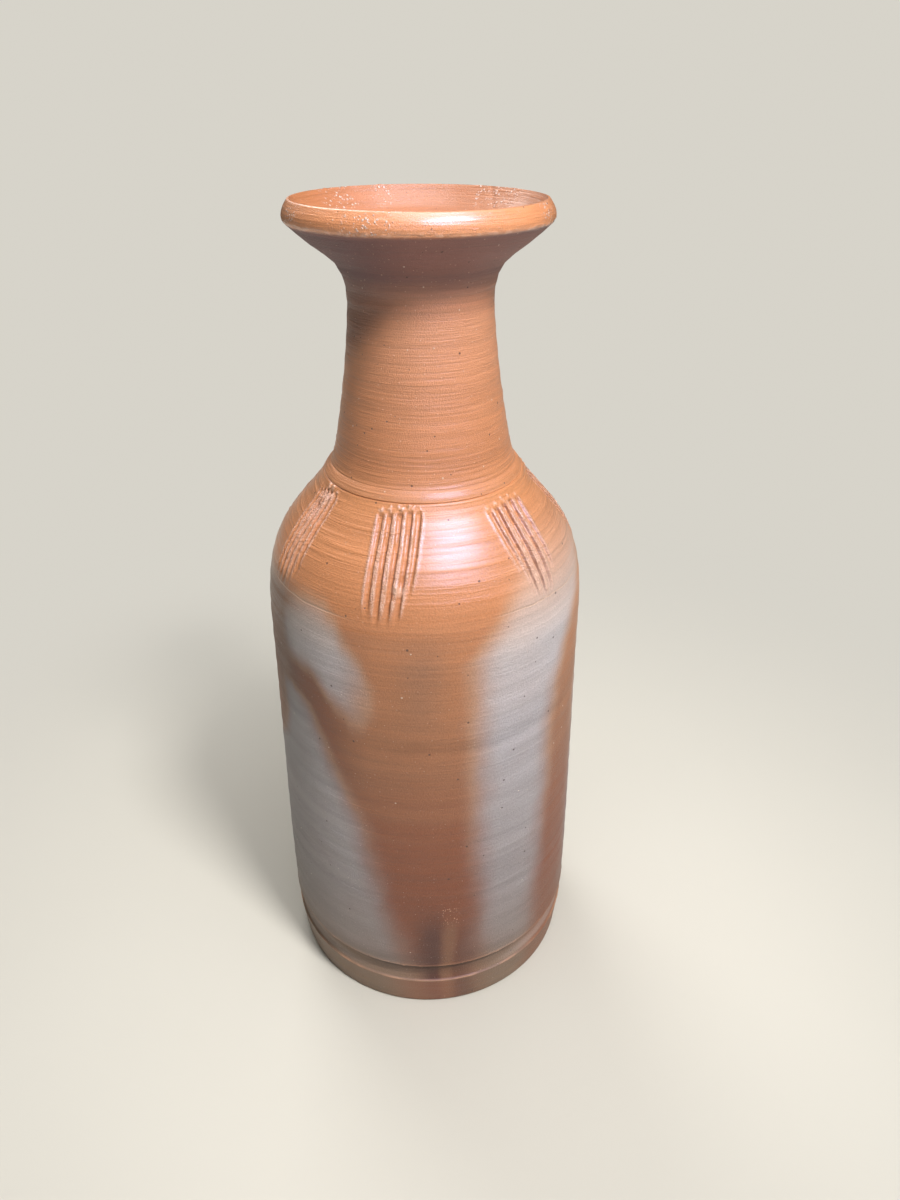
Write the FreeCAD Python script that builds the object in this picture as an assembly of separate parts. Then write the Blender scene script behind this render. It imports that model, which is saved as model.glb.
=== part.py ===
import FreeCAD, Part
import math
import os

# A wheel-thrown stoneware sake bottle, in millimetres, +Z up, with its
# origin at the centre of the base. It is thrown as two pieces of clay: a
# body with foot, wall and domed shoulder, and a neck with a flared mouth,
# whose spigot is luted into the throat of the shoulder with slip. The front
# of the bottle faces -Y, and bearings are counted from there towards +X.
# An outline is drawn as straight stretches and as curves. A curve is pulled
# towards a corner, where the straight lines along its two ends would meet.

# ---- Foot: a plain band under one turned groove -------------------------
BASE_RADIUS = 45.0
BASE_EDGE_CHAMFER = 0.9
BAND_RADIUS = 46.0
BAND_HEIGHT = 11.3
GROOVE_DEPTH = 1.3
GROOVE_FLOOR_HEIGHT = 16.0
GROOVE_TOP_HEIGHT = 18.9

# ---- Wall: upright at first, then drawn in towards the shoulder ---------
WALL_RADIUS = 46.2
WALL_UPRIGHT_HEIGHT = 46.0
CAVITY_RADIUS = 39.0
FLOOR_THICKNESS = 6.5

# ---- Shoulder: a curve, two flattening cones and a flat seat ------------
BODY_HEIGHT = 165.0
SHOULDER_CORNER_RADIUS = 43.7
SHOULDER_CORNER_DROP = 24.6      # from the seat down to the corner
SHOULDER_CURVE_LENGTH = 8.5
SHOULDER_BREAK_RADIUS = 36.9
SHOULDER_BREAK_DROP = 13.2       # from the seat down to the break
SHOULDER_THICKNESS = 5.0
SEAM_RADIUS = 26.3
THROAT_RADIUS = 21.0
THROAT_DEPTH = 5.6

# ---- Neck: heights here are counted from the seam -----------------------
NECK_HEIGHT = 65.0
SPIGOT_LENGTH = 4.4
SLIP_CLEARANCE = 0.15
SEAM_CREASE = 0.5
LEDGE_INSET = 1.5                # from the seam in to the ledge's edge
LEDGE_HEIGHT = 2.3
ROOT_RADIUS = 22.4
ROOT_HEIGHT = 8.5
FLARE_CORNER_RADIUS = 17.2
FLARE_CORNER_HEIGHT = 48.7
FLARE_CURVE_LENGTH = 4.2
BORE_RADIUS = 13.0

# ---- Lip: a bevelled band with a crisp edge above and below -------------
LIP_LOW_RADIUS = 31.5
LIP_MIDDLE_RADIUS = 31.4
LIP_TOP_RADIUS = 30.4
LIP_BAND_HEIGHT = 4.4
LIP_BEVEL_HEIGHT = 2.2

# ---- Comb marks: strokes of a toothed comb down the shoulder ------------
COMB_BEARINGS = [-60.0, -11.0, 47.0, 98.0, 149.0, 200.0, 249.0]
COMB_LEANS = [2.0, -3.5, 1.0, 2.5, -2.0, 1.5, -3.0]
COMB_TEETH = 5
COMB_PITCH = 2.4
COMB_DEPTH = 0.55
COMB_MARK_WIDTH = 1.3
COMB_START = 2.4                 # from the seam down to the strokes
COMB_OVERRUN = 1.5               # from one cone's end into the next
COMB_WEDGE_HEIGHT = 1.65         # deep enough to stand clear of the clay


def point(radius, height):
    return FreeCAD.Vector(radius, 0, height)


def towards(start, target, length):
    """The point that lies length along the way from start to target."""
    return start + (target - start).normalize() * length


def revolve(stretches):
    """Turn a closed half section about the bottle's axis into a solid.

    Each stretch runs on from the end of the one before. One point is the
    end of a straight line, and two are a curve's corner and its end.
    """
    edges = []
    start = stretches[-1][-1]
    for stretch in stretches:
        if len(stretch) == 1:
            edges.append(Part.makeLine(start, stretch[0]))
        else:
            bezier = Part.BezierCurve()
            bezier.setPoles([start, *stretch])
            edges.append(bezier.toShape())
        start = stretch[-1]
    face = Part.Face(Part.Wire(edges))
    return face.revolve(FreeCAD.Vector(0, 0, 0), FreeCAD.Vector(0, 0, 1), 360)


# The corners of the shoulder's outline, which the comb follows too.
seam = point(SEAM_RADIUS, BODY_HEIGHT)
shoulder_break = point(SHOULDER_BREAK_RADIUS, BODY_HEIGHT - SHOULDER_BREAK_DROP)
shoulder_corner = point(SHOULDER_CORNER_RADIUS, BODY_HEIGHT - SHOULDER_CORNER_DROP)
cone_low = towards(shoulder_corner, shoulder_break, SHOULDER_CURVE_LENGTH)


def make_shell():
    """The body before it is combed: foot, wall, shoulder, seat and cavity."""
    wall_upright = point(WALL_RADIUS, WALL_UPRIGHT_HEIGHT)
    wall_top = towards(shoulder_corner, wall_upright, SHOULDER_CURVE_LENGTH)
    # The roof ends one thickness under the break, and lower again by as much
    # as the cavity reaches out past the break.
    roof_fall = SHOULDER_THICKNESS + CAVITY_RADIUS - SHOULDER_BREAK_RADIUS
    roof_height = shoulder_break.z - roof_fall
    return revolve([
        [point(0, 0)],
        [point(BASE_RADIUS - BASE_EDGE_CHAMFER, 0)],
        [point(BASE_RADIUS, BASE_EDGE_CHAMFER)],
        [point(BAND_RADIUS, BAND_HEIGHT)],
        [point(BAND_RADIUS - GROOVE_DEPTH, GROOVE_FLOOR_HEIGHT)],
        [point(WALL_RADIUS, GROOVE_TOP_HEIGHT)],
        [wall_upright],
        [wall_top],
        [shoulder_corner, cone_low],
        [shoulder_break],
        [seam],
        [point(THROAT_RADIUS, BODY_HEIGHT)],
        [point(THROAT_RADIUS, BODY_HEIGHT - THROAT_DEPTH)],
        [point(CAVITY_RADIUS, roof_height)],
        [point(CAVITY_RADIUS, FLOOR_THICKNESS)],
        [point(0, FLOOR_THICKNESS)],
    ])


def comb_tooth(upper, lower, lean, offset):
    """The wedge of clay that one tooth takes from the cone below upper.

    It is drawn with its edge along +X, then tipped to the cone's slope. Off
    the middle of the comb the cone lies a little lower, and so does the
    edge. Beyond each end of its cone the wedge rises clear of the clay.
    """
    stroke = (lower - upper).Length + COMB_OVERRUN
    half_width = COMB_WEDGE_HEIGHT / COMB_DEPTH * COMB_MARK_WIDTH / 2
    profile = Part.makePolygon([
        FreeCAD.Vector(0, 0, 0),
        FreeCAD.Vector(0, half_width, COMB_WEDGE_HEIGHT),
        FreeCAD.Vector(0, -half_width, COMB_WEDGE_HEIGHT),
        FreeCAD.Vector(0, 0, 0),
    ])
    wedge = Part.Face(profile).extrude(FreeCAD.Vector(stroke, 0, 0))
    fall = offset ** 2 / (upper.x + lower.x)
    wedge.translate(FreeCAD.Vector(0, offset, -COMB_DEPTH - fall))
    slope = math.degrees(math.atan2(upper.z - lower.z, lower.x - upper.x))
    wedge.rotate(FreeCAD.Vector(0, 0, 0), FreeCAD.Vector(0, 1, 0), slope)
    wedge.translate(upper)
    wedge.rotate(upper, FreeCAD.Vector(0, 0, 1), lean)
    return wedge


def make_body():
    """The body, combed in groups around the shoulder."""
    stroke_top = towards(seam, shoulder_break, COMB_START)
    overrun_top = towards(shoulder_break, cone_low, -COMB_OVERRUN)
    wedges = []
    for bearing, lean in zip(COMB_BEARINGS, COMB_LEANS):
        for tooth in range(COMB_TEETH):
            offset = (tooth - (COMB_TEETH - 1) / 2) * COMB_PITCH
            for upper, lower in ((stroke_top, shoulder_break), (overrun_top, cone_low)):
                wedge = comb_tooth(upper, lower, lean, offset)
                wedge.rotate(FreeCAD.Vector(0, 0, 0), FreeCAD.Vector(0, 0, 1), bearing - 90)
                wedges.append(wedge)
    return make_shell().cut(wedges)


def make_neck():
    """The neck: spigot, ledge, waisted tube, flare, lip band and funnel."""
    top = BODY_HEIGHT + NECK_HEIGHT
    root = point(ROOT_RADIUS, BODY_HEIGHT + ROOT_HEIGHT)
    flare_corner = point(FLARE_CORNER_RADIUS, BODY_HEIGHT + FLARE_CORNER_HEIGHT)
    lip_low = point(LIP_LOW_RADIUS, top - LIP_BAND_HEIGHT)
    waist = towards(flare_corner, root, FLARE_CURVE_LENGTH)
    flare_low = towards(flare_corner, lip_low, FLARE_CURVE_LENGTH)
    # The funnel runs beside the flare, from the top of the lip to the bore.
    flare = lip_low - flare_corner
    funnel_depth = (LIP_TOP_RADIUS - BORE_RADIUS) * flare.z / flare.x
    spigot_radius = THROAT_RADIUS - SLIP_CLEARANCE
    spigot_bottom = BODY_HEIGHT - SPIGOT_LENGTH
    return revolve([
        [point(BORE_RADIUS, spigot_bottom)],
        [point(spigot_radius, spigot_bottom)],
        [point(spigot_radius, BODY_HEIGHT)],
        [point(SEAM_RADIUS - SEAM_CREASE, BODY_HEIGHT)],
        [point(SEAM_RADIUS, BODY_HEIGHT + SEAM_CREASE)],
        [point(SEAM_RADIUS - LEDGE_INSET, BODY_HEIGHT + LEDGE_HEIGHT)],
        [root],
        [waist],
        [flare_corner, flare_low],
        [lip_low],
        [point(LIP_MIDDLE_RADIUS, top - LIP_BEVEL_HEIGHT)],
        [point(LIP_TOP_RADIUS, top)],
        [point(BORE_RADIUS, top - funnel_depth)],
    ])


os.makedirs("parts", exist_ok=True)
make_body().exportStep("parts/bottle_body.step")
make_neck().exportStep("parts/neck.step")
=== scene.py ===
import math

import bmesh
import bpy
import numpy as np
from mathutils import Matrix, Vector, noise


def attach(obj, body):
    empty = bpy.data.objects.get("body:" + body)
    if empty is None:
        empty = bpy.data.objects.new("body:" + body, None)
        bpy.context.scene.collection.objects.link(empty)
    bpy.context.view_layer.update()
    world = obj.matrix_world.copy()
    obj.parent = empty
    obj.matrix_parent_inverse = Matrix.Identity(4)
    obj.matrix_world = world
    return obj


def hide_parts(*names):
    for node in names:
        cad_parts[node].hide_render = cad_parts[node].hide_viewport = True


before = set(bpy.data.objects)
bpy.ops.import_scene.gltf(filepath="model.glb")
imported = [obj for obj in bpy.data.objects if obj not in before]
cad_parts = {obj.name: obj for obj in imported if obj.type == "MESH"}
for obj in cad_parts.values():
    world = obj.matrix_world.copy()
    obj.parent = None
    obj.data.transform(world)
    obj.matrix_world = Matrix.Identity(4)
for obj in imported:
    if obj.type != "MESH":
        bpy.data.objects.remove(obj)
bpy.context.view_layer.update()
MM = 0.001


# ---- The thrown body ------------------------------------------------------
# The body of the bottle: dark iron-bearing stoneware, thrown on the wheel,
# trimmed at the foot with one groove, combed on the shoulder while it was
# leather hard, and wrapped in straw before it was fired without a glaze.

SEAT = 165.0  # How high the neck is seated, in millimetres.

# The outline as it is pulled up, turned in at the throat and closed inside:
# radius and height in millimetres, and how sharp its edge is left.
BODY_OUTLINE = [
    (44.30, 0.00, 0.3), (44.90, 0.45, 0), (45.05, 1.20, 0), (45.35, 4.50, 0),
    (45.75, 8.50, 0), (46.02, 10.90, 0), (46.05, 11.35, 0.85), (45.50, 11.75, 0.2),
    (44.85, 13.20, 0), (44.62, 14.90, 0), (44.66, 16.10, 0.2), (45.15, 17.35, 0),
    (46.02, 18.60, 0.2), (46.36, 18.95, 0.85), (46.27, 19.60, 0), (46.20, 22.50, 0),
    (46.20, 28.50, 0), (46.20, 35.00, 0), (46.08, 41.50, 0), (46.00, 48.00, 0),
    (45.85, 54.50, 0), (45.68, 61.00, 0), (45.50, 67.50, 0), (45.32, 74.00, 0),
    (45.18, 80.50, 0), (45.00, 87.00, 0), (44.85, 93.50, 0), (44.68, 100.0, 0),
    (44.52, 106.5, 0), (44.38, 113.0, 0), (44.26, 119.5, 0), (44.12, 126.0, 0),
    (43.82, 131.5, 0), (43.25, 136.2, 0), (42.35, 140.6, 0), (40.95, 144.8, 0),
    (39.00, 148.7, 0), (36.70, 152.0, 0), (33.80, 155.5, 0), (30.80, 158.9, 0),
    (28.40, 161.7, 0), (27.10, 163.7, 0), (26.60, 164.7, 0), (26.30, SEAT, 0.9),
    (21.00, SEAT, 0.9), (21.00, 159.4, 0.6), (29.00, 155.0, 0), (36.50, 149.0, 0),
    (38.80, 140.0, 0), (39.00, 110.0, 0), (39.00, 50.00, 0), (38.60, 12.00, 0),
    (34.00, 6.90, 0), (20.00, 6.50, 0),
]


def throw(name, outline, segments):
    """Pulls a ring up through the outline, as clay is pulled on the wheel."""
    bpy.ops.object.select_all(action="DESELECT")
    radius, height, sharp = outline[0]
    bpy.ops.mesh.primitive_circle_add(
        vertices=segments, radius=radius * MM, fill_type="NOTHING", location=(0, 0, height * MM)
    )
    piece = bpy.context.object
    piece.name = name
    piece.data.name = name
    bpy.ops.object.transform_apply(location=True)
    bpy.ops.object.mode_set(mode="EDIT")
    bpy.ops.mesh.select_all(action="SELECT")
    if sharp:
        bpy.ops.transform.edge_crease(value=sharp)
    for next_radius, next_height, sharp in outline[1:]:
        rise = (next_height - height) * MM
        bpy.ops.mesh.extrude_region_move(TRANSFORM_OT_translate={"value": (0, 0, rise)})
        scale = next_radius / radius
        bpy.ops.transform.resize(value=(scale, scale, 1), center_override=(0, 0, 0))
        if sharp:
            bpy.ops.transform.edge_crease(value=sharp)
        radius, height = next_radius, next_height
    return piece


def close_ring():
    """Closes the selected ring to a flat face that is fanned to its centre."""
    bpy.ops.mesh.extrude_region_move()
    bpy.ops.transform.resize(value=(0.5, 0.5, 1), center_override=(0, 0, 0))
    bpy.ops.mesh.extrude_region_move()
    bpy.ops.mesh.merge(type="CENTER")


def select_rings(piece, rings):
    """Selects whole rings, each found by its point of the outline."""
    mesh = bmesh.from_edit_mesh(piece.data)
    mesh.select_mode = {"VERT"}
    for vert in mesh.verts:
        vert.select = any(
            abs(vert.co.z - height * MM) < 1e-6 and abs(vert.co.xy.length - radius * MM) < 1e-5
            for radius, height, _ in rings
        )
    mesh.select_flush(True)
    bmesh.update_edit_mesh(piece.data)


def smooth_clay(piece):
    """Turns the faces outwards and smooths the pulled rings."""
    bpy.ops.mesh.select_all(action="SELECT")
    bpy.ops.mesh.normals_make_consistent(inside=False)
    bpy.ops.object.mode_set(mode="OBJECT")
    smooth = piece.modifiers.new("pulled smooth", "SUBSURF")
    smooth.levels = 2
    smooth.render_levels = 2
    bpy.ops.object.modifier_apply(modifier=smooth.name)


def cut_in_three(piece, low, high, around):
    """Makes the outside finer between two heights, by its edges around the pot or its upright ones."""
    bpy.ops.object.mode_set(mode="EDIT")
    mesh = bmesh.from_edit_mesh(piece.data)
    mesh.select_mode = {"EDGE"}
    for face in mesh.faces:
        face.select = False
    for edge in mesh.edges:
        first, second = edge.verts
        rise = abs(first.co.z - second.co.z)
        wanted = rise < 1e-7 if around else rise > 0.05 * MM
        outside = edge.link_faces[0].normal.xy.dot(first.co.xy) > 0
        edge.select = wanted and outside and low * MM < min(first.co.z, second.co.z) < high * MM
    bmesh.update_edit_mesh(piece.data)
    bpy.ops.mesh.subdivide(number_cuts=2)
    bpy.ops.object.mode_set(mode="OBJECT")


body = throw("bottle_body_thrown", BODY_OUTLINE, 72)
close_ring()
select_rings(body, BODY_OUTLINE[:1])
close_ring()
smooth_clay(body)
cut_in_three(body, 137, SEAT - 0.05, around=True)

# A stroke of the comb: its bearing in degrees and its height in millimetres
# where it is set on and where it lifts, its depth, and its bow to the right.
COMB_STROKES = [
    (-68.0, 162.6, -65.5, 141.5, 0.42, 0.3), (-64.3, 163.0, -62.3, 140.6, 0.5, 0.2),
    (-60.6, 163.3, -59.2, 140.2, 0.52, 0.1), (-56.6, 163.5, -56.0, 141.0, 0.48, 0.0),
    (-52.2, 163.2, -52.6, 143.5, 0.4, -0.3),
    (-20.3, 162.4, -18.6, 141.0, 0.5, 0.5), (-15.6, 162.8, -15.1, 139.0, 0.6, 0.5),
    (-10.4, 163.2, -11.8, 139.4, 0.62, 0.6), (-5.4, 163.5, -8.6, 139.8, 0.58, 0.6),
    (-0.8, 163.4, -5.0, 146.0, 0.42, 0.5),
    (36.4, 161.6, 41.5, 146.0, 0.4, -0.3), (41.0, 161.9, 44.6, 139.6, 0.52, -0.5),
    (46.4, 162.2, 48.2, 138.6, 0.56, -0.4), (52.0, 162.4, 51.6, 139.4, 0.54, -0.4),
    (57.6, 162.0, 55.0, 144.5, 0.4, -0.3),
]
for centre, lean in ((98, 2.5), (149, -2.0), (200, 1.5), (249, -3.0)):
    for tooth in range(-2, 3):
        top_bearing = centre + tooth * 4.7 + lean / 2
        low_bearing = centre + tooth * 3.5 - lean / 2
        top = 162.9 + 0.3 * math.sin(centre + tooth)
        low = 140.4 + 0.6 * abs(tooth)
        COMB_STROKES.append((top_bearing, top, low_bearing, low, 0.55 - 0.06 * abs(tooth), 0.3))


def fade(value, low, high):
    """Eases from 0 at low to 1 at high."""
    share = np.clip((value - low) / (high - low), 0, 1)
    return share * share * (3 - 2 * share)


def grain(places, scale, seed=0.0):
    """Smooth noise from -1 to 1 at each place, scale giving its size in millimetres."""
    shift = Vector((seed, seed * 0.7, -seed))
    return np.array([noise.noise(Vector(place) / (scale * MM) + shift) for place in places])


def streaks(places, across, along, seed=0.0):
    """Noise drawn out around the pot: across is its height and along its length."""
    stretched = places / np.array([along, along, across]) / MM
    shift = Vector((seed, -seed, seed * 0.5))
    return np.array([noise.noise(Vector(place) + shift) for place in stretched])


def work_clay(piece, worked):
    """Moves each point of the outside along its own normal, in millimetres."""
    count = len(piece.data.vertices)
    places = np.empty(count * 3)
    piece.data.vertices.foreach_get("co", places)
    places = places.reshape(-1, 3)
    normals = np.empty(count * 3)
    piece.data.vertices.foreach_get("normal", normals)
    normals = normals.reshape(-1, 3)
    move, marks = worked(places, normals)
    places = places + normals * move[:, None] * MM
    piece.data.vertices.foreach_set("co", places.ravel())
    for mark, values in marks.items():
        layer = piece.data.attributes.new(mark, "FLOAT", "POINT")
        layer.data.foreach_set("value", values.astype(np.float32))
    piece.data.update()


def work_body(places, normals):
    """How far the potter's hands, rib and comb moved each point of the body."""
    x, y, z = places.T / MM
    radius = np.hypot(x, y)
    bearing = np.degrees(np.arctan2(x, -y))
    outward = normals[:, 0] * x / radius.clip(1) + normals[:, 1] * y / radius.clip(1)
    outside = fade(outward, 0.15, 0.4)
    # Throwing rings climb the wall in a slow spiral, and the hand wavers.
    climb = z + bearing / 360 * 6.4
    rings = np.sin(climb / 7.1 * math.tau + 1.6 * streaks(places, 24, 60, 3))
    rings = rings * fade(z, 20, 34) * (1 - fade(z, 128, 140))
    move = 0.10 * rings * (0.6 + 0.5 * streaks(places, 30, 45, 5))
    move += 0.22 * streaks(places, 45, 60, 11) * fade(z, 12, 40)
    move += 0.07 * streaks(places, 1.7, 40, 17) * fade(z, 19.5, 24) * (1 - fade(z, 160, 164))
    # Fine lines that the rib left under the neck.
    rib_lines = ((163.6, 0.10), (162.4, 0.06), (161.0, 0.09), (158.6, 0.05), (156.6, 0.06), (153.9, 0.05))
    for level, proud in rib_lines:
        line = level + 0.35 * np.sin(np.radians(bearing) + level)
        move += proud * np.exp(-(((z - line) / 0.42) ** 2)) * (0.5 + 0.9 * streaks(places, 3, 14, level))
    # The comb: flat grooves with torn walls, and rough ridges pushed up between.
    depth = np.zeros_like(z)
    burr = np.zeros_like(z)
    ridge = np.zeros_like(z)
    shaded_wall = np.zeros_like(z)
    wander = grain(places, 7, 31)
    rough = grain(places, 0.62, 41)
    near = (z > 136) & (z < SEAT)
    for top_bearing, top, low_bearing, low, deep, bow in COMB_STROKES:
        along = (top - z) / (top - low)
        middle = top_bearing + (low_bearing - top_bearing) * along + bow * 4 * along * (1 - along)
        offset = (bearing - middle + 180) % 360 - 180
        across = offset * math.pi / 180 * radius + 0.12 * wander
        set_on = fade(along, -0.02, 0.03)
        lift = 1 - fade(along, 0.72, 1.02)
        press = 1.2 * deep * set_on * lift * near * (0.85 + 0.25 * wander)
        depth = np.maximum(depth, press * (1 - fade(np.abs(across), 0.40, 0.72)))
        # This mask holds each groove's right wall and the end where it was set on, which the colour
        # darkens as painted shade.
        shaded_wall = np.maximum(shaded_wall, press * np.exp(-(((across - 0.60) / 0.20) ** 2)))
        shaded_wall = np.maximum(shaded_wall, press * np.exp(-(((along - 0.01) / 0.018) ** 2)) * (np.abs(across) < 0.7))
        edge = np.exp(-(((np.abs(across) - 1.08) / 0.34) ** 2)) * press * (0.30 + 0.55 * rough)
        heap = np.exp(-((along + 0.035) / 0.03) ** 2) * np.exp(-((across / 0.8) ** 2)) * near
        burr = np.maximum(burr, np.maximum(edge, heap * deep * (0.35 + 1.2 * rough)))
        ridge = np.maximum(ridge, np.exp(-(((np.abs(across) - 1.12) / 0.42) ** 2)) * press / deep)
    # Lumps that the comb dragged up, and scars where it tore them out.
    lumps = ((-8.0, 148.2, 1.5, 0.5), (-7.0, 149.8, 0.8, -0.4), (-9.4, 146.9, 0.7, -0.5),
             (-62.5, 159.6, 1.1, -0.6), (-58.0, 161.4, 0.8, 0.45), (-54.5, 162.6, 0.7, 0.5))
    for lump_bearing, height, size, lift in lumps:
        offset = (bearing - lump_bearing) * math.pi / 180 * radius
        far = np.hypot(offset, (z - height) * 1.3) / size
        burr += np.exp(-(far ** 2)) * lift * near * (1 + 0.5 * rough)
    # Crumbs left standing low on the front, and along the foot's groove.
    crumbs = 0.35 * np.exp(-(((z - 19.0) / 0.5) ** 2)) * np.clip(grain(places, 1.6, 61) - 0.15, 0, 1)
    crumbs += 0.3 * np.exp(-(((z - 11.4) / 0.4) ** 2)) * np.clip(grain(places, 1.4, 67) - 0.2, 0, 1)
    move = (move - depth + burr + 0.9 * crumbs) * outside
    marks = {"comb_wall": shaded_wall, "comb_ridge": ridge, "comb_burr": burr, "crumbs": crumbs}
    return move, {mark: values * outside for mark, values in marks.items()}


work_clay(body, work_body)
bpy.ops.object.shade_smooth_by_angle(angle=math.radians(50))


TALL = 230  # The bottle's height in millimetres.


class Clay:
    """One output of a shader node. Arithmetic adds Math nodes, and node() adds any other."""

    def __init__(self, socket):
        self.socket = socket

    def node(self, kind, settings, sockets, output=0):
        """Adds a node: its settings first, then its sockets, each a value or another output."""
        tree = self.socket.id_data
        made = tree.nodes.new(kind)
        for name, value in settings.items():
            if name == "stops":
                ramp = made.color_ramp.elements
                ramp[0].position = value[0][0]
                ramp[1].position = value[-1][0]
                for place, _ in value[1:-1]:
                    ramp.new(place)
                for element, (_, colour) in zip(ramp, value):
                    element.color = (*colour, 1)
            else:
                setattr(made, name, value)
        for name, value in sockets.items():
            if isinstance(value, Clay):
                tree.links.new(value.socket, made.inputs[name])
            else:
                made.inputs[name].default_value = value
        return Clay(made.outputs[output])

    def math(self, operation, first, second=0.0):
        return self.node("ShaderNodeMath", {"operation": operation}, {0: first, 1: second})

    def __add__(self, other):
        return self.math("ADD", self, other)

    def __radd__(self, other):
        return self.math("ADD", other, self)

    def __sub__(self, other):
        return self.math("SUBTRACT", self, other)

    def __rsub__(self, other):
        return self.math("SUBTRACT", other, self)

    def __mul__(self, other):
        return self.math("MULTIPLY", self, other)

    def __rmul__(self, other):
        return self.math("MULTIPLY", other, self)

    def __truediv__(self, other):
        return self.math("DIVIDE", self, other)

    def ease(self, low, high):
        """0 below low and 1 above high, eased in between."""
        return self.node("ShaderNodeMapRange", {"interpolation_type": "SMOOTHSTEP"},
                         {"Value": self, "From Min": low, "From Max": high})

    def ramp(self, stops):
        """Colours read at this share, along stops of (share, colour)."""
        return self.node("ShaderNodeValToRGB", {"stops": stops}, {"Fac": self})

    def follow(self, points, low, high):
        """A line through points of (height in millimetres, value), read at this height."""
        stops = [(place / TALL, ((value - low) / (high - low),) * 3) for place, value in points]
        return (self / TALL).ramp(stops) * (high - low) + low

    def tint(self, first, second):
        """Mixes two colours by this share."""
        return self.node("ShaderNodeMix", {"data_type": "RGBA"}, {0: self, 6: first, 7: second}, 2)


def new_clay(name):
    """A material with its output and surface ready, and its Object coordinates."""
    material = bpy.data.materials.new(name)
    material.use_nodes = True
    nodes = material.node_tree.nodes
    surface = nodes["Principled BSDF"]
    coordinates = Clay(nodes.new("ShaderNodeTexCoord").outputs["Object"])
    return material, surface, coordinates


def in_millimetres(coordinates):
    """How far each point is across the pot, towards its back and above its foot."""
    apart = coordinates.node("ShaderNodeSeparateXYZ", {}, {0: coordinates}, "X").socket.node.outputs
    return [Clay(apart[axis]) / MM for axis in "XYZ"]


def mark_of(coordinates, name):
    """A mark that was stored on the points as they were worked."""
    return coordinates.node("ShaderNodeAttribute", {"attribute_name": name}, {}, "Fac")


def feed(surface, name, value):
    """Lets a worked value drive one socket of the surface."""
    surface.id_data.links.new(value.socket, surface.inputs[name])


def noise_at(coordinates, size, detail=2.0, seed=0.0, stretch=(1, 1, 1)):
    """Noise from 0 to 1 with lumps about size millimetres across, stretched along X, Y and Z."""
    scale = tuple(1 / (size * MM * part) for part in stretch)
    mapped = {"Vector": coordinates, "Location": (seed, seed, seed), "Scale": scale}
    placed = coordinates.node("ShaderNodeMapping", {}, mapped)
    lumps = {"Vector": placed, "Scale": 1.0, "Detail": detail, "Roughness": 0.55}
    return placed.node("ShaderNodeTexNoise", {}, lumps)


def specks(coordinates, spacing, size, seed, share):
    """Round grains of up to size millimetres, in a share of cells spacing millimetres wide."""
    mapped = {"Vector": coordinates, "Location": (seed, seed, seed), "Scale": (1 / (spacing * MM),) * 3}
    placed = coordinates.node("ShaderNodeMapping", {}, mapped)
    cells = {"Vector": placed, "Scale": 1.0}
    far = placed.node("ShaderNodeTexVoronoi", {}, cells, "Distance")
    pick = placed.node("ShaderNodeTexVoronoi", {}, cells, "Color")
    pick = pick.node("ShaderNodeSeparateColor", {}, {0: pick}, 0)
    radius = size / 2 / spacing * pick.ease(1 - share, 1)
    return (1 - (far / (radius + 0.0001)).ease(0.6, 1.0)) * pick.ease(1 - share, 1 - share + 0.01)


# Bearings are in degrees, counted from the front or from the back, and waver
# as the straw did. The level is the height, wavering in the same way.
clay, surface, at = new_clay("straw_fired_body")
across, towards_back, height = in_millimetres(at)
waver = noise_at(at, 24, 3, 1.3) - 0.5
flicker = noise_at(at, 7, 3, 7.7, (1, 1, 1.6)) - 0.5
lift = noise_at(at, 16, 2, 4.1) - 0.5
front = at.math("ARCTAN2", across, 0 - towards_back) * (180 / math.pi) + waver * 8 + flicker * 4
back = at.math("ARCTAN2", 0 - across, towards_back) * (180 / math.pi) + waver * 9 + flicker * 4
level = height + lift * 5 + flicker * 2.4


def field(bearing, left, right, soft_left, soft_right):
    """1 between two edges, each one value or points of (height, value), and 0 past them."""
    begin = level.follow(left, -180, 180) if isinstance(left, list) else left
    end = level.follow(right, -180, 180) if isinstance(right, list) else right
    begun = bearing.ease(begin - soft_left, begin + soft_left)
    return begun * (1 - bearing.ease(end - soft_right, end + soft_right))


def under(bearing, line, soft):
    """Below a line given as points of (bearing, height)."""
    stops = [((at_bearing + 180) / 360, (at_height / TALL,) * 3) for at_bearing, at_height in line]
    read = ((bearing + 180) / 360).ramp(stops) * TALL
    return 1 - level.ease(read - soft, read + soft)


# The fields that straw kept pale: two in front on the left, two in front on
# the right, and three behind, the middle one crossed by a slanting straw.
left_low = field(
    front, [(0, -112), (70, -104), (84, -74), (92, -64), (100, -59), (230, -59)],
    [(0, 0), (20, -6), (30, -11), (40, -15), (50, -18), (62, -21.5), (75, -25.5), (85, -30.5),
     (95, -37), (105, -43), (110, -48), (114, -60), (230, -64)], 6, 9)
left_high = field(front, -57, -21, 5, 15) * (0.55 + 0.45 * height.ease(106, 124))
left_high = left_high * under(front, [
    (-58, 133), (-52, 137), (-44, 140), (-36, 139.5), (-30, 136), (-25, 131.5), (-20, 126.5),
    (-14, 117)], 6)
left_high = left_high * (1 - under(front, [
    (-58, 121), (-50, 122), (-43, 121.5), (-38, 119), (-34, 115.5), (-30, 111.5), (-25, 108), (-19, 107),
    (-12, 118)], 5.4))
right_field = field(
    front, [(0, 20), (100, 20), (118, 20.5), (130, 21), (137, 28), (145, 35), (160, 44), (230, 60)],
    [(0, 42), (20, 46), (40, 46), (60, 47.5), (80, 48.5), (100, 50.5), (112, 53), (122, 58),
     (132, 66), (145, 84), (230, 96)], 9.5, 9)
right_field = right_field * (1 - level.ease(128, 166))
right_edge = field(
    front, [(0, 68), (60, 71), (120, 76), (230, 80)], [(0, 96), (60, 92), (110, 98), (230, 96)], 8, 7)
right_edge = right_edge * (1 - level.ease(112, 140))
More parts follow.
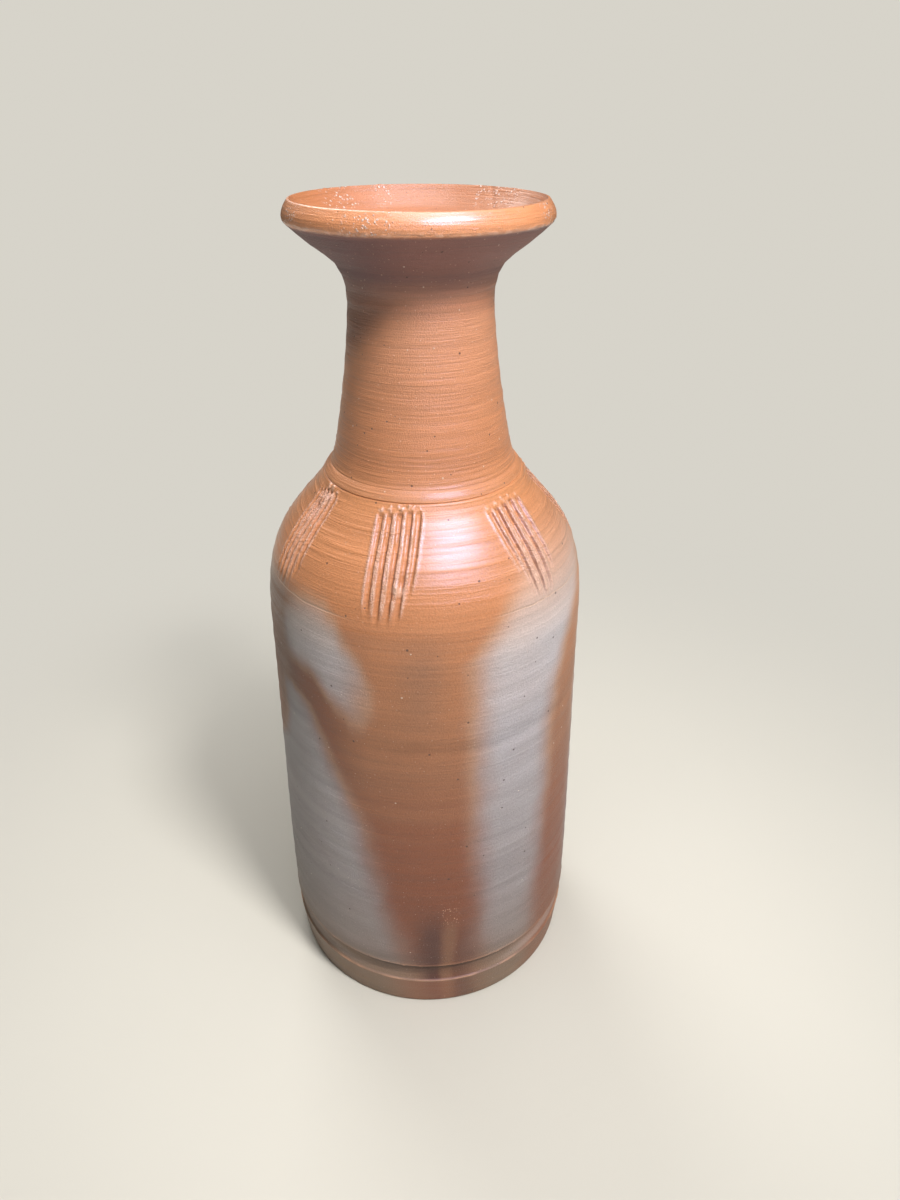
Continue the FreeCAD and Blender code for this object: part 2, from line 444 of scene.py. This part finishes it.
behind_right = field(
    back, [(0, -70), (70, -66), (120, -60), (230, -60)],
    [(0, -36), (50, -41), (90, -47), (128, -56), (230, -58)], 6, 7)
behind_right = behind_right * (1 - level.ease(122, 146))
behind_middle = field(
    back, [(0, -6), (50, -13), (95, -22), (128, -24), (146, -14), (230, -8)],
    [(0, 20), (30, 24), (60, 20), (100, 15), (130, 6), (230, 0)], 7, 9)
slanting_straw = field(level + back * 1.15, 88, 97, 6, 5)
behind_middle = behind_middle * (1 - level.ease(126, 148)) * (1 - 0.85 * slanting_straw)
behind_left = field(
    back, [(0, 50), (60, 44), (100, 38), (130, 44), (230, 52)],
    [(0, 70), (60, 66), (110, 72), (230, 70)], 7, 9)
behind_left = behind_left * (1 - level.ease(112, 136))
kept = left_low.math("MAXIMUM", left_low, left_high)
for straw in (right_field, right_edge * 0.5, behind_right, behind_middle, behind_left):
    kept = kept.math("MAXIMUM", kept, straw)
kept = kept * (0.80 + 0.20 * height.ease(12, 30)) * (0.94 + 0.3 * lift)

streak = noise_at(at, 1.3, 5, 2.2, (36, 36, 1)).ease(0.30, 0.70) - 0.5
band = noise_at(at, 6.4, 1, 9.4, (14, 14, 1)).ease(0.25, 0.75) - 0.5
fine = noise_at(at, 0.55, 2, 5.5, (30, 30, 1)).ease(0.3, 0.7) - 0.5
sand = noise_at(at, 0.45, 2, 3.9).ease(0.3, 0.7) - 0.5
cloud = noise_at(at, 30, 3, 8.1) - 0.5

# Where the flame reached, the clay is orange at the shoulder and brown below; the darkening lower down is
# partly painted shade.
fired_and_painted_shade = ((height + band * 6) / TALL).ramp([
    (0.0, (0.250, 0.112, 0.060)), (0.06, (0.240, 0.104, 0.054)), (0.09, (0.215, 0.078, 0.038)),
    (0.20, (0.215, 0.068, 0.032)), (0.30, (0.250, 0.085, 0.040)), (0.42, (0.330, 0.140, 0.068)),
    (0.52, (0.400, 0.168, 0.076)), (0.59, (0.480, 0.192, 0.080)), (0.64, (0.590, 0.242, 0.104)),
    (0.72, (0.660, 0.278, 0.122))])
scorch = field(front, -4, 5.5, 5.5, 2.4) * (1 - height.ease(30, 50))
scorch = scorch + field(front, 10.5, 19, 2.4, 5) * (1 - height.ease(26, 44)) * 0.6
fired_and_painted_shade = (scorch * 0.9).tint(fired_and_painted_shade, (0.085, 0.032, 0.025, 1))
drip = field(front, 5.5, 10.5, 1.6, 1.6) * (1 - height.ease(34, 42))
fired_and_painted_shade = (drip * 0.5).tint(fired_and_painted_shade, (0.210, 0.115, 0.068, 1))
smoke_and_painted_shade = field(front, -64, -27, 12, 12) * height.ease(70, 96) * (1 - height.ease(124, 142))
fired_and_painted_shade = (smoke_and_painted_shade * 0.85).tint(fired_and_painted_shade, (0.200, 0.070, 0.036, 1))
smoke_and_painted_shade = field(front, -7, 7, 7, 7) * height.ease(104, 118) * (1 - height.ease(128, 142))
fired_and_painted_shade = (smoke_and_painted_shade * 0.5).tint(fired_and_painted_shade, (0.270, 0.135, 0.080, 1))
fringe = kept.ease(0.02, 0.25) * (1 - kept.ease(0.3, 0.75)) * (1 - height.ease(140, 150))
fired_and_painted_shade = (fringe * 0.38 * height.ease(45, 110)).tint(fired_and_painted_shade, (0.480, 0.245, 0.105, 1))
# Under the straw it stayed violet grey, and paler the higher it is; the darkening lower down is partly
# painted shade.
ash_grey_and_painted_shade = ((height + cloud * 14) / TALL).ramp([
    (0.0, (0.240, 0.165, 0.108)), (0.06, (0.245, 0.175, 0.125)), (0.10, (0.250, 0.203, 0.188)),
    (0.20, (0.305, 0.275, 0.285)), (0.33, (0.375, 0.350, 0.372)), (0.45, (0.415, 0.392, 0.425)),
    (0.56, (0.520, 0.478, 0.500)), (0.60, (0.580, 0.480, 0.450)), (0.70, (0.740, 0.520, 0.410))])
clouded = cloud.ease(-0.2, 0.25) * 0.25 * height.ease(60, 90) * (1 - height.ease(120, 135))
ash_grey_and_painted_shade = clouded.tint(ash_grey_and_painted_shade, (0.370, 0.350, 0.380, 1))
tone = (kept.ease(0.0, 1.0) * 0.5 + kept * 0.5).tint(fired_and_painted_shade, ash_grey_and_painted_shade)
shade = 1 + streak * 0.10 + band * (0.09 + kept * 0.12) + fine * 0.08 + sand * 0.14
ring_line = 1 - level.math("ABSOLUTE", level - 104).ease(0.4, 3.0)
shade = shade * (1 - 0.20 * ring_line * noise_at(at, 18, 2, 6.3, (2, 2, 0.4)).ease(0.35, 0.6))
# Painted shade: the left side of the wall, bearings -130 to -46, darker below the shoulder.
shade = shade * (1 - 0.34 * field(front, -130, -46, 25, 18) * (1 - height.ease(138, 146)))
tone = tone.node("ShaderNodeVectorMath", {"operation": "SCALE"}, {0: tone, "Scale": shade})
# Painted shade: a darker patch on the left, bearings -112 to -53 and heights 108 to 141 mm.
smoke_and_painted_shade = field(front, -112, -53, 20, 6) * field(level, 108, 141, 8, 3)
tone = (smoke_and_painted_shade * 0.55).tint(tone, (0.115, 0.052, 0.034, 1))
# Iron specks, quartz grains and dust.
dark = specks(at, 2.5, 0.85, 11.3, 0.20)
pale = specks(at, 2.6, 0.62, 23.9, 0.14)
dust = specks(at, 1.1, 0.40, 31.7, 0.6)
tone = (dark * 0.78).tint(tone, (0.060, 0.032, 0.026, 1))
tone = (pale * 0.75).tint(tone, (0.76, 0.66, 0.56, 1))
tone = (dust * 0.34).tint(tone, (0.70, 0.52, 0.42, 1))
# A line turned around the shoulder, which fades out in places.
scratch = height.math("ABSOLUTE", height - 140.2 + lift * 2.4)
turned = field(front, -66, -28, 4, 8) + field(front, 30, 120, 12, 20) + field(back, -30, 40, 20, 20)
scratch = (1 - scratch.ease(0.10, 0.30)) * turned
# The comb's marks, with painted shade on the grooves' right walls, crumbs, and grains that stuck to the
# wall over the scorch.
burr_mark = mark_of(at, "comb_burr")
shaded_wall_mark = mark_of(at, "comb_wall")
ridge_mark = mark_of(at, "comb_ridge")
crumb_mark = mark_of(at, "crumbs")
grit = noise_at(at, 0.42, 1, 6.6).ease(0.42, 0.62)
tone = (ridge_mark.ease(0.1, 0.9) * (0.22 + 0.42 * grit)).tint(tone, (0.820, 0.510, 0.400, 1))
tone = (ridge_mark.ease(0.1, 0.9) * (1 - grit) * 0.18).tint(tone, (0.340, 0.150, 0.100, 1))
# Painted shade on the comb grooves' right walls and set-on ends.
tone = (shaded_wall_mark.ease(0.05, 0.5) * 0.62).tint(tone, (0.150, 0.046, 0.028, 1))
tone = (burr_mark.ease(0.03, 0.25) * 0.45).tint(tone, (0.880, 0.580, 0.450, 1))
stuck = field(front, 4.5, 11, 2.0, 2.0) * field(height, 37.5, 46, 1.5, 1.5)
stuck = specks(at, 0.66, 0.52, 53.1, 0.9) * stuck
tone = (stuck * 0.85).tint(tone, (0.760, 0.440, 0.280, 1))
tone = (crumb_mark.ease(0.03, 0.2) * 0.7).tint(tone, (0.700, 0.380, 0.240, 1))
tone = (scratch * 0.45).tint(tone, (0.700, 0.480, 0.360, 1))
# The foot: orange under the scorch, painted shade under the groove's upper
# wall, a painted reflection on the groove's floor at the sides, and painted
# highlights along the groove's two arrises, patchy on the lower one.
middle = field(front, -28, 34, 12, 12)
flamed = field(front, -13, 11, 9, 6) * (1 - height.ease(10.6, 11.4))
tone = (flamed * 0.60).tint(tone, (0.330, 0.122, 0.062, 1))
# Painted shade in the groove under its upper wall, and on its floor in front.
undercut_shade = height.ease(12.2, 14.5) * 0.35 * middle + height.ease(15.2, 16.8) * (0.60 + 0.15 * middle)
undercut_shade = undercut_shade * (1 - height.ease(18.3, 18.9))
tone = (undercut_shade * 0.75).tint(tone, (0.085, 0.050, 0.036, 1))
# Painted reflection: the groove's floor is paler at the sides.
groove_floor_reflection = field(height, 11.9, 14.2, 0.5, 0.9) * (1 - middle)
tone = (groove_floor_reflection * 0.30).tint(tone, (0.520, 0.450, 0.430, 1))
# Painted highlights along the groove's two arrises, patchy on the lower one.
patchy = 0.10 + 0.45 * noise_at(at, 9, 1, 4.4).ease(0.45, 0.62)
arris_highlight = field(height, 18.9, 19.5, 0.25, 0.35) * 0.22 + field(height, 11.0, 11.6, 0.2, 0.2) * patchy
tone = arris_highlight.tint(tone, (0.560, 0.300, 0.180, 1))
feed(surface, "Base Color", tone)

# The wall is dull, and ash melted to a thin shine on the shoulder.
surface.inputs["Specular IOR Level"].default_value = 0.60
gloss = 0.55 - height.ease(118, 150) * 0.14 + kept * 0.04 + ridge_mark * 0.15
gloss = gloss + sand * 0.12 + streak * 0.10 + fine * 0.06
feed(surface, "Roughness", gloss)
surface.inputs["Coat Roughness"].default_value = 0.32
surface.inputs["Coat IOR"].default_value = 1.7
turned_line = noise_at(at, 0.8, 3, 6.1, (50, 50, 1)).ease(0.42, 0.72)
coat = height.ease(118, 152) * (0.85 - 0.65 * turned_line) + 0.05
feed(surface, "Coat Weight", coat)
relief = streak * (0.30 - height.ease(132, 146) * 0.12) + fine * 0.16 + sand * 0.26
relief = relief - dark * 0.5 + pale * 0.4 + dust * 0.25 - scratch * 0.5
relief = relief + turned_line * height.ease(140, 150) * 0.7 + stuck * 1.2 + ridge_mark * grit * 0.9
bumped = relief.node("ShaderNodeBump", {}, {"Height": relief, "Strength": 0.8, "Distance": 0.00022})
feed(surface, "Normal", bumped)
body.data.materials.append(clay)
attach(body, "root")
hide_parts("bottle_body")


# ---- The neck ---------------------------------------------------------------
# The neck of the same stoneware, thrown by itself, flared and bevelled at
# the lip, and luted into the throat of the body with slip. It was fired
# bare, so the flame turned it orange. The violet brown under the lip is partly
# the fire's colour and partly painted shade.

NECK_OUTLINE = [
    (13.00, 160.6, 0.8), (20.85, 160.6, 0.8), (20.85, SEAT, 0.9), (26.05, SEAT, 0.6), (26.22, 165.25, 0),
    (25.95, 165.8, 0), (25.35, 166.6, 0), (24.85, 167.2, 0.4), (24.35, 167.6, 0), (23.85, 168.6, 0),
    (23.30, 170.2, 0), (22.75, 172.4, 0), (22.20, 175.2, 0), (21.55, 178.6, 0), (20.85, 182.4, 0),
    (20.15, 186.4, 0), (19.55, 190.4, 0), (19.00, 194.6, 0), (18.50, 198.8, 0), (18.08, 203.0, 0),
    (17.80, 207.0, 0), (17.95, 210.6, 0), (18.75, 213.6, 0), (20.30, 216.3, 0), (22.80, 218.5, 0),
    (26.00, 220.8, 0), (28.90, 223.2, 0), (30.80, 224.9, 0), (31.20, 225.35, 0.8), (31.48, 225.9, 0),
    (31.55, 226.6, 0), (31.38, 227.5, 0), (30.98, 228.4, 0), (30.45, 229.2, 0), (29.95, 229.85, 0.3),
    (29.50, 229.95, 0.4), (29.05, 229.4, 0), (28.10, 228.2, 0), (25.60, 225.4, 0), (22.40, 222.6, 0),
    (19.00, 219.8, 0), (15.60, 217.0, 0), (13.70, 214.0, 0), (13.00, 209.0, 0), (13.00, 196.0, 0),
    (13.00, 180.0, 0),
]
neck = throw("neck_thrown", NECK_OUTLINE, 80)
select_rings(neck, (NECK_OUTLINE[0], NECK_OUTLINE[-1]))
bpy.ops.mesh.bridge_edge_loops()
smooth_clay(neck)
cut_in_three(neck, SEAT + 0.3, 190, around=False)


def work_neck(places, normals):
    """How far the potter's hands and rib moved each point of the neck."""
    x, y, z = places.T / MM
    radius = np.hypot(x, y)
    bearing = np.degrees(np.arctan2(x, -y))
    outward = (normals[:, 0] * x + normals[:, 1] * y) / radius
    seen = fade(z, SEAT + 0.4, SEAT + 1.2) * fade(np.maximum(outward, fade(z, 214, 218)), 0.05, 0.3)
    climb = z + bearing / 360 * 5
    rings = np.sin(climb / 5.3 * math.tau + 1.5 * streaks(places, 18, 40, 3))
    move = 0.04 * rings * fade(z, 170, 178) * (1 - fade(z, 212, 220))
    move += 0.10 * streaks(places, 30, 30, 12)
    move += 0.035 * streaks(places, 1.3, 24, 19)
    # Ridges that the rib left around the neck.
    ridges = ((187.0, 0.10, 0.40), (185.4, 0.16, 0.34), (183.9, 0.07, 0.30), (181.2, 0.09, 0.30),
              (178.8, 0.06, 0.30), (176.2, 0.09, 0.30), (174.6, 0.06, 0.25), (172.9, 0.12, 0.26),
              (171.5, 0.08, 0.25), (170.2, 0.14, 0.26), (169.2, 0.09, 0.22), (168.3, 0.12, 0.24),
              (166.1, 0.08, 0.22))
    for ridge, proud, wide in ridges:
        line = ridge + 0.5 * np.sin(np.radians(bearing) + ridge)
        patchy = 0.55 + 0.7 * streaks(places, 3, 14, ridge)
        move += proud * np.exp(-(((z - line) / wide) ** 2)) * patchy * (outward > 0)
    # The lip's lower arris is crumbly, and patches of its band are rough.
    crumbs = np.clip(grain(places, 1.3, 71) - 0.05, -0.1, 1) * (outward > 0)
    crumbs = np.exp(-(((z - 225.6) / 0.55) ** 2)) * crumbs
    patches = np.zeros_like(z)
    for patch, wide in ((-22, 6), (-62, 6), (68, 8), (-132, 12), (-158, 5), (132, 9), (148, 3), (-12, 5)):
        patches += np.exp(-((((bearing - patch + 180) % 360 - 180) / wide) ** 2))
    patches = patches.clip(0, 1)
    crust = fade(z, 221, 226) * patches * fade(grain(places, 5, 91), -0.2, 0.3)
    crust = crust * np.clip(grain(places, 0.75, 83) - 0.05, 0, 1)
    # Two strokes of a tool across the far side of the mouth.
    inside = (outward < 0.2) & (z > 214) & (y > 0)
    for stroke, deep, wide in ((14.5, 0.07, 1.1), (17.7, 0.26, 0.42)):
        move -= deep * np.exp(-(((x - stroke) / wide) ** 2)) * inside
    move = (move + 0.35 * crumbs + 0.3 * crust) * seen
    return move, {
        "crumbs": crumbs.clip(0) * seen,
        "crust": patches * fade(z, 224.8, 226.2) * seen,
        "inside": fade(-outward, -0.35, 0.05) * fade(z, 190, 214),
    }


work_clay(neck, work_neck)
bpy.ops.object.shade_smooth_by_angle(angle=math.radians(50))

clay, surface, at = new_clay("flame_turned_neck")
across, _, height = in_millimetres(at)
streak = noise_at(at, 0.65, 3, 2.7, (90, 90, 1)).ease(0.30, 0.70) - 0.5
fine = noise_at(at, 0.34, 2, 5.1, (20, 20, 1)).ease(0.3, 0.7) - 0.5
band = noise_at(at, 5.0, 1, 9.9, (12, 12, 1)).ease(0.25, 0.75) - 0.5
sand = noise_at(at, 0.26, 2, 3.3).ease(0.3, 0.7) - 0.5
cloud = noise_at(at, 26, 3, 8.8) - 0.5
# Orange, and violet brown under the lip, partly the fire's colour and partly painted shade. The lip's
# shadow on its left and the darker inside of the mouth are painted shade.
fired_and_painted_shade = ((height - SEAT + band * 0.4) / (TALL - SEAT)).ramp([
    (0.0, (0.640, 0.275, 0.125)), (0.1, (0.570, 0.230, 0.100)), (0.3, (0.610, 0.255, 0.120)),
    (0.60, (0.660, 0.295, 0.160)), (0.69, (0.560, 0.240, 0.138)), (0.77, (0.250, 0.118, 0.105)),
    (0.924, (0.230, 0.108, 0.100)), (0.934, (0.760, 0.310, 0.138)), (1.0, (0.760, 0.310, 0.140))])
inside = mark_of(at, "inside")
# Painted shadow: the lip's shadow on the left of the neck, darkened into the clay.
smoke_and_painted_shade = (1 - across.ease(-16, 2)) * field(height, across + 214, 224.5, 4, 0.6)
fired_and_painted_shade = (smoke_and_painted_shade * 0.6).tint(fired_and_painted_shade, (0.075, 0.036, 0.050, 1))
# Painted shade: the inside of the mouth is darker than the outside.
fired_and_painted_shade = inside.tint(fired_and_painted_shade, (0.500, 0.196, 0.084, 1))
shade = 1 + streak * 0.15 + band * 0.06 + fine * 0.10 + sand * 0.14 + cloud * 0.14
tone = fired_and_painted_shade.node("ShaderNodeVectorMath", {"operation": "SCALE"}, {0: fired_and_painted_shade, "Scale": shade})
dark = specks(at, 1.9, 0.66, 13.1, 0.26)
pale = specks(at, 2.0, 0.60, 27.3, 0.24)
dust = specks(at, 1.0, 0.42, 37.7, 0.7)
tone = (dark * 0.8).tint(tone, (0.050, 0.026, 0.022, 1))
tone = (pale * 0.7).tint(tone, (0.80, 0.66, 0.54, 1))
tone = (dust * 0.50).tint(tone, (0.78, 0.50, 0.38, 1))
crumb_mark = mark_of(at, "crumbs")
tone = (crumb_mark.ease(0.04, 0.3) * 0.35).tint(tone, (0.820, 0.500, 0.380, 1))
# Rough patches of the lip, where pale flakes stuck in clumps.
clumps = noise_at(at, 1.3, 3, 2.8, (1.6, 1.6, 1)).ease(0.41, 0.52)
flakes = specks(at, 0.62, 0.76, 61.7, 1.0) * noise_at(at, 0.22, 1, 5.9).ease(0.32, 0.46)
crust = mark_of(at, "crust").ease(0.10, 0.7) * clumps * flakes
tone = (crust * 0.85).tint(tone, (0.920, 0.760, 0.700, 1))
feed(surface, "Base Color", tone)

# The neck has a low sheen, dull under the lip, and the lip's band shines.
sheltered = height.ease(208, 216)
lip = height.ease(224.6, 225.8)
surface.inputs["Specular IOR Level"].default_value = 0.85
gloss = 0.45 + fine * 0.06 + streak * 0.10 + sand * 0.12 + sheltered * 0.2 - lip * 0.26
feed(surface, "Roughness", gloss)
surface.inputs["Coat Roughness"].default_value = 0.24
surface.inputs["Coat IOR"].default_value = 1.7
coat = 0.30 - sheltered * 0.28 + lip * (0.95 + streak * 0.6) * (1 - inside * 0.7)
feed(surface, "Coat Weight", coat)
relief = streak * 0.26 + fine * 0.20 + sand * 0.26 + crust * 0.9
relief = relief - dark * 0.5 + pale * 0.4 + dust * 0.3
bumped = relief.node("ShaderNodeBump", {}, {"Height": relief, "Strength": 0.8, "Distance": 0.00025})
feed(surface, "Normal", bumped)
neck.data.materials.append(clay)
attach(neck, "root")
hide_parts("neck")


# ---- The studio ---------------------------------------------------------------
# A pale sweep of paper under and behind the bottle, a key lamp high to the
# right of the camera, softer lamps above and behind, and an even low sky. The
# shine comes from a violet panel that lights nothing and is only mirrored.
bpy.ops.object.select_all(action="DESELECT")
bpy.ops.mesh.primitive_plane_add(size=4, location=(0, 0.6, 0))
sweep = bpy.context.object
sweep.name = "paper_sweep"
bpy.ops.object.transform_apply(location=True)
bpy.ops.object.mode_set(mode="EDIT")
mesh = bmesh.from_edit_mesh(sweep.data)
mesh.select_mode = {"VERT"}
for vert in mesh.verts:
    vert.select = vert.co.y > 2
mesh.select_flush(True)
bmesh.update_edit_mesh(sweep.data)
bpy.ops.mesh.extrude_region_move(TRANSFORM_OT_translate={"value": (0, 0, 2.4)})
bpy.ops.object.mode_set(mode="OBJECT")
fold = sweep.modifiers.new("fold", "BEVEL")
fold.width = 0.9
fold.segments = 24
bpy.ops.object.modifier_apply(modifier=fold.name)
bpy.ops.object.shade_smooth()
paper, surface, at = new_clay("pale_paper")
mottle = noise_at(at, 180, 2, 3.0)
pulp = mottle.ease(0.2, 0.8).tint((0.600, 0.575, 0.510, 1), (0.625, 0.600, 0.535, 1))
feed(surface, "Base Color", pulp)
surface.inputs["Roughness"].default_value = 0.9
# The camera sees the paper's own colour away from the bottle, so that it keeps
# the shadow near the foot and is even behind.
away = at.node("ShaderNodeVectorMath", {"operation": "LENGTH"}, {0: at}, "Value")
seen = at.node("ShaderNodeLightPath", {}, {}, "Is Camera Ray") * away.ease(0.06, 0.32)
glow = at.node("ShaderNodeEmission", {}, {"Color": (0.680, 0.655, 0.590, 1), "Strength": 1.0})
mixed = seen.node("ShaderNodeMixShader", {}, {0: seen, 1: Clay(surface.outputs[0]), 2: glow})
feed(paper.node_tree.nodes["Material Output"], "Surface", mixed)
sweep.data.materials.append(paper)


def lamp(name, place, width, height, power, colour):
    """A soft area lamp that looks at the middle of the bottle."""
    bpy.ops.object.light_add(type="AREA", location=place)
    made = bpy.context.object
    made.name = name
    made.data.shape = "ELLIPSE"
    made.data.size = width
    made.data.size_y = height
    made.data.energy = power
    made.data.color = colour
    made.rotation_euler = (Vector((0, 0, 0.13)) - made.location).to_track_quat("-Z", "Y").to_euler()
    return made


key = lamp("key_lamp", (0.26, -0.33, 0.68), 0.16, 0.16, 5.4, (1.0, 0.985, 0.97))
key.visible_glossy = False
lamp("top_lamp", (0.04, -0.10, 1.05), 0.7, 0.7, 4.0, (0.97, 0.98, 1.0))
lamp("back_lamp", (-0.30, 0.62, 0.85), 0.5, 0.5, 4.6, (1.0, 0.99, 0.98))
panel = lamp("mirrored_panel", (0.23, -0.35, 0.68), 0.46, 0.24, 4.9, (0.50, 0.60, 1.0))
panel.visible_diffuse = False

world = bpy.data.worlds.new("even_sky")
bpy.context.scene.world = world
world.use_nodes = True
sky = world.node_tree.nodes["Background"].inputs
sky["Color"].default_value = (0.93, 0.96, 1.0, 1)
sky["Strength"].default_value = 0.14

bpy.ops.object.camera_add(location=(0.0071, -0.2151, 0.2505), rotation=(math.radians(59.27), 0, 0))
camera = bpy.context.object
camera.data.lens = 25.68
camera.data.clip_start = 0.01
bpy.context.scene.camera = camera
bpy.context.scene.view_settings.view_transform = "Standard"
